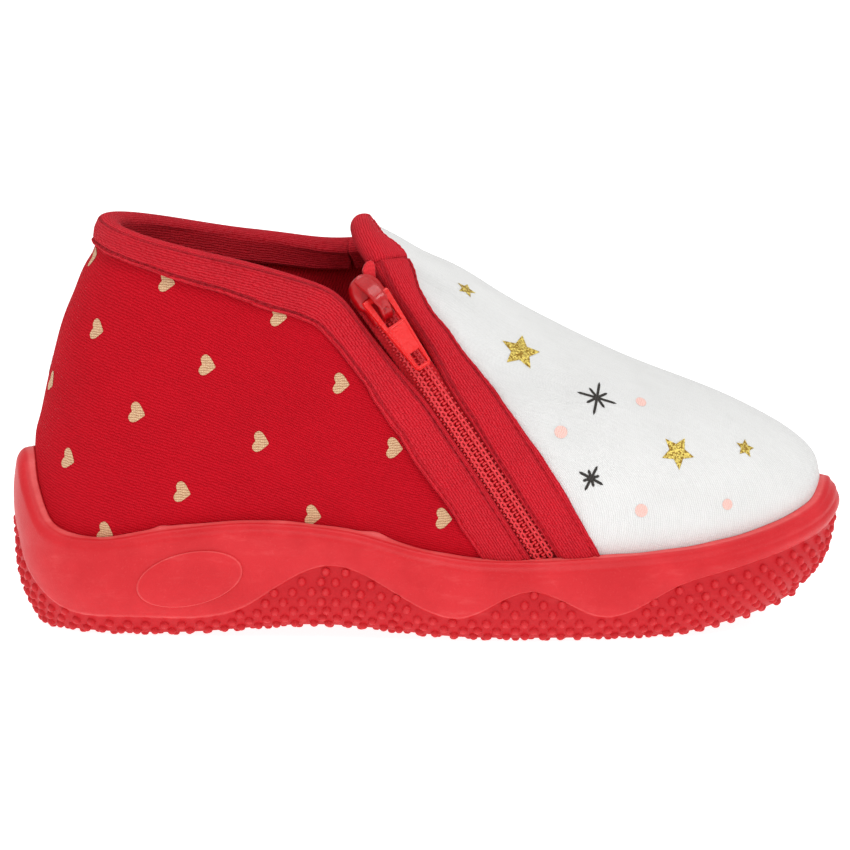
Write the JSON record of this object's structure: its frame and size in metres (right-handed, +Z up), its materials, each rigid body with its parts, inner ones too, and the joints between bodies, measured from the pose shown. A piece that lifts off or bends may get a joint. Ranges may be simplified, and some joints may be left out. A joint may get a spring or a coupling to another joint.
{
  "type": "bootie slipper",
  "caption": "Child's ankle-high bootie slipper with a hollow jersey upper, a slanted side zip with a hinged pull, rolled bindings and a moulded cup sole with a wavy band.",
  "frame": {"origin": "middle of the bounding box, at floor level", "axes": "+X towards the toe, +Y towards the inner side of the foot, -Y towards the zip side, +Z up"},
  "size_m": [0.1631, 0.0654, 0.0813],
  "materials": {
    "sole": "satin moulded",
    "insole": "matt jersey over foam",
    "upper": "matt printed jersey over foam",
    "collar_binding": "matt jersey",
    "throat_binding": "matt jersey",
    "zip_facing": "matt jersey",
    "zip_tape": "woven tape",
    "zip_coil": "satin",
    "zip_slider": "lacquered",
    "zip_pull": "lacquered"
  },
  "bodies": {
    "shoe": {"sole": "sole", "insole": "insole", "upper": "upper", "collar_binding": "collar_binding", "throat_binding": "throat_binding", "zip_facing": "zip_facing", "zip_tape": "zip_tape", "zip_coil": "zip_coil", "zip_slider": "zip_slider"},
    "zip_pull": {"zip_pull": "zip_pull"}
  },
  "joints": [
    {"name": "pull_hinge", "type": "hinge", "parent": "shoe", "child": "zip_pull", "pos_m": [-0.00988, -0.02363, 0.06773], "axis": [-0.79, -0.356, -0.4992], "range_deg": [0, 165]}
  ]
}
